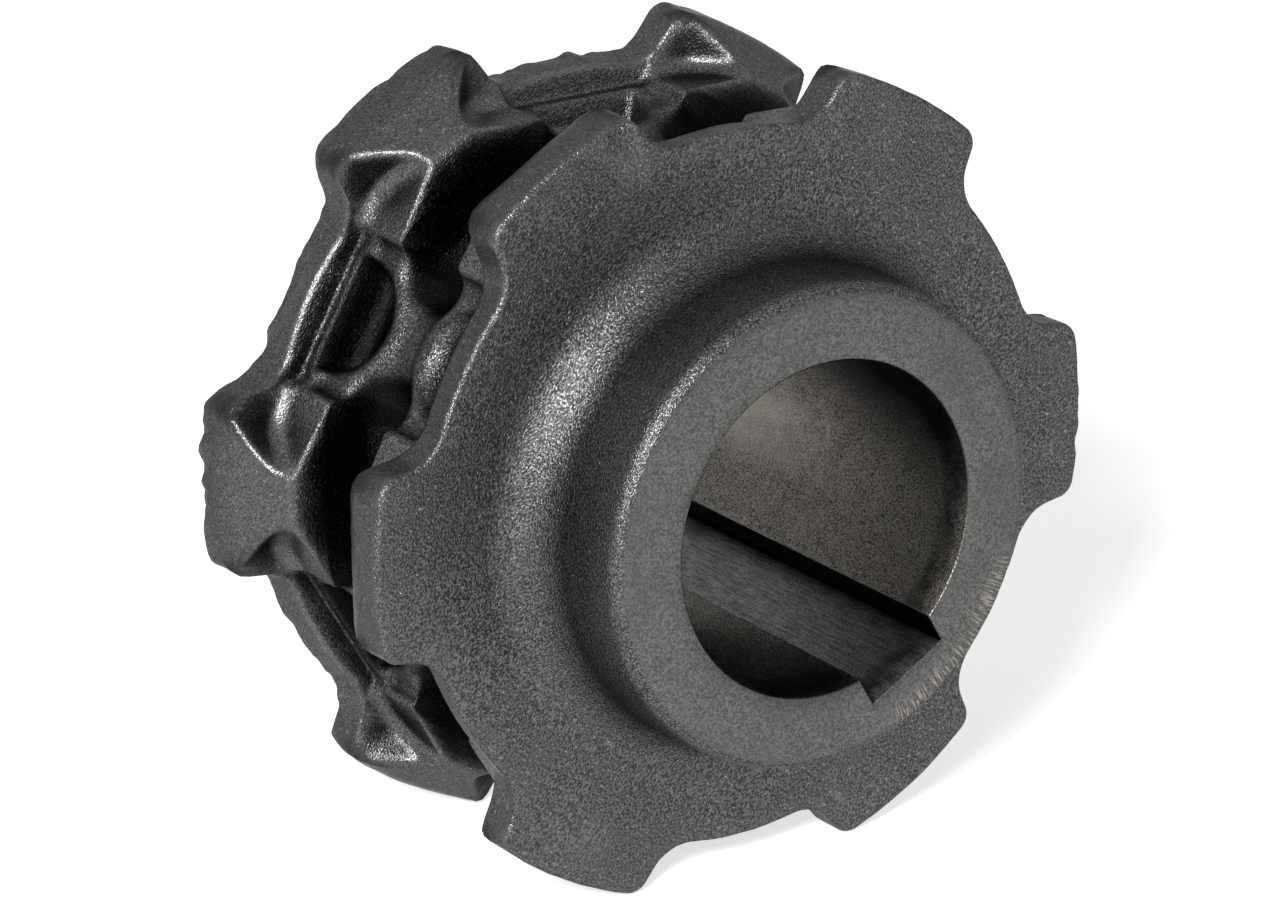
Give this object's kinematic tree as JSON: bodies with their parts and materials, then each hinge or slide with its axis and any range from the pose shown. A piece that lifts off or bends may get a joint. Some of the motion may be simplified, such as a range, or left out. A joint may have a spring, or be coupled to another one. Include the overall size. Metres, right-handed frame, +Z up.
{
  "type": "pocket wheel",
  "caption": "Cast iron pocket wheel for round link chain, with toothed flanges, shaped link pockets, a raised hub on the front and a keyed bore.",
  "frame": {"origin": "on the axis of the bore, half way between the outer faces of the flanges", "axes": "+Y along the bore towards the rear face, so the hub points to -Y; +Z up; the wheel stands on the teeth at both sides of the lowest pocket"},
  "size_m": [0.125, 0.0704, 0.1186],
  "materials": {
    "iron": "bare grey sand casting with a fine grain; the bore and keyway are machined"
  },
  "bodies": {
    "root": {"pocket_wheel": "iron"}
  },
  "joints": []
}
